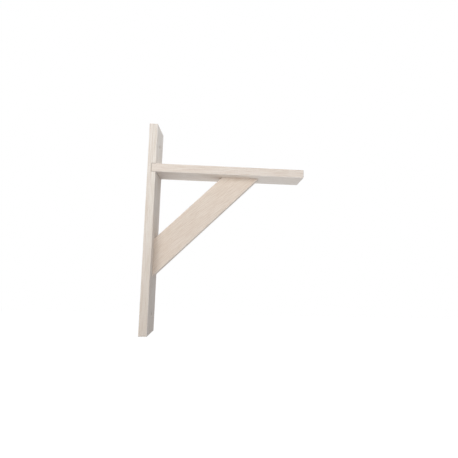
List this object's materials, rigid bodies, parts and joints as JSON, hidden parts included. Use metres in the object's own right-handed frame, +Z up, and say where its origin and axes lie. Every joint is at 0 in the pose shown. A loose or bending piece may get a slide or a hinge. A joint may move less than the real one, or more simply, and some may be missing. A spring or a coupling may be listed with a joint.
{
  "type": "wooden shelf bracket",
  "caption": "Wooden shelf bracket: an upright wall plate, a level arm housed into it and a diagonal brace under the arm, with countersunk wall screw holes.",
  "frame": {"origin": "on the wall plate's back face, in the middle of its width, level with the arm's upper face, which is the shelf line", "axes": "+X away from the wall along the arm, +Z up the wall plate, Y across the width; the bracket is the same on both sides of Y = 0"},
  "size_m": [0.3, 0.051, 0.4],
  "materials": {
    "plate_timber": "planed and sanded, bare, pale fine-grained hardwood",
    "arm_timber": "planed and sanded, bare, pale fine-grained hardwood",
    "brace_timber": "planed and sanded, bare, pale fine-grained hardwood",
    "dowel_wood": "compressed, fluted",
    "screw_steel": "bright zinc plated"
  },
  "bodies": {
    "root": {"wall_plate": "plate_timber", "arm": "arm_timber", "brace": "brace_timber", "foot_dowel_lower": "dowel_wood", "foot_dowel_upper": "dowel_wood", "head_dowel_outer": "dowel_wood", "head_dowel_inner": "dowel_wood", "arm_screw_left": "screw_steel", "arm_screw_right": "screw_steel"}
  },
  "joints": []
}
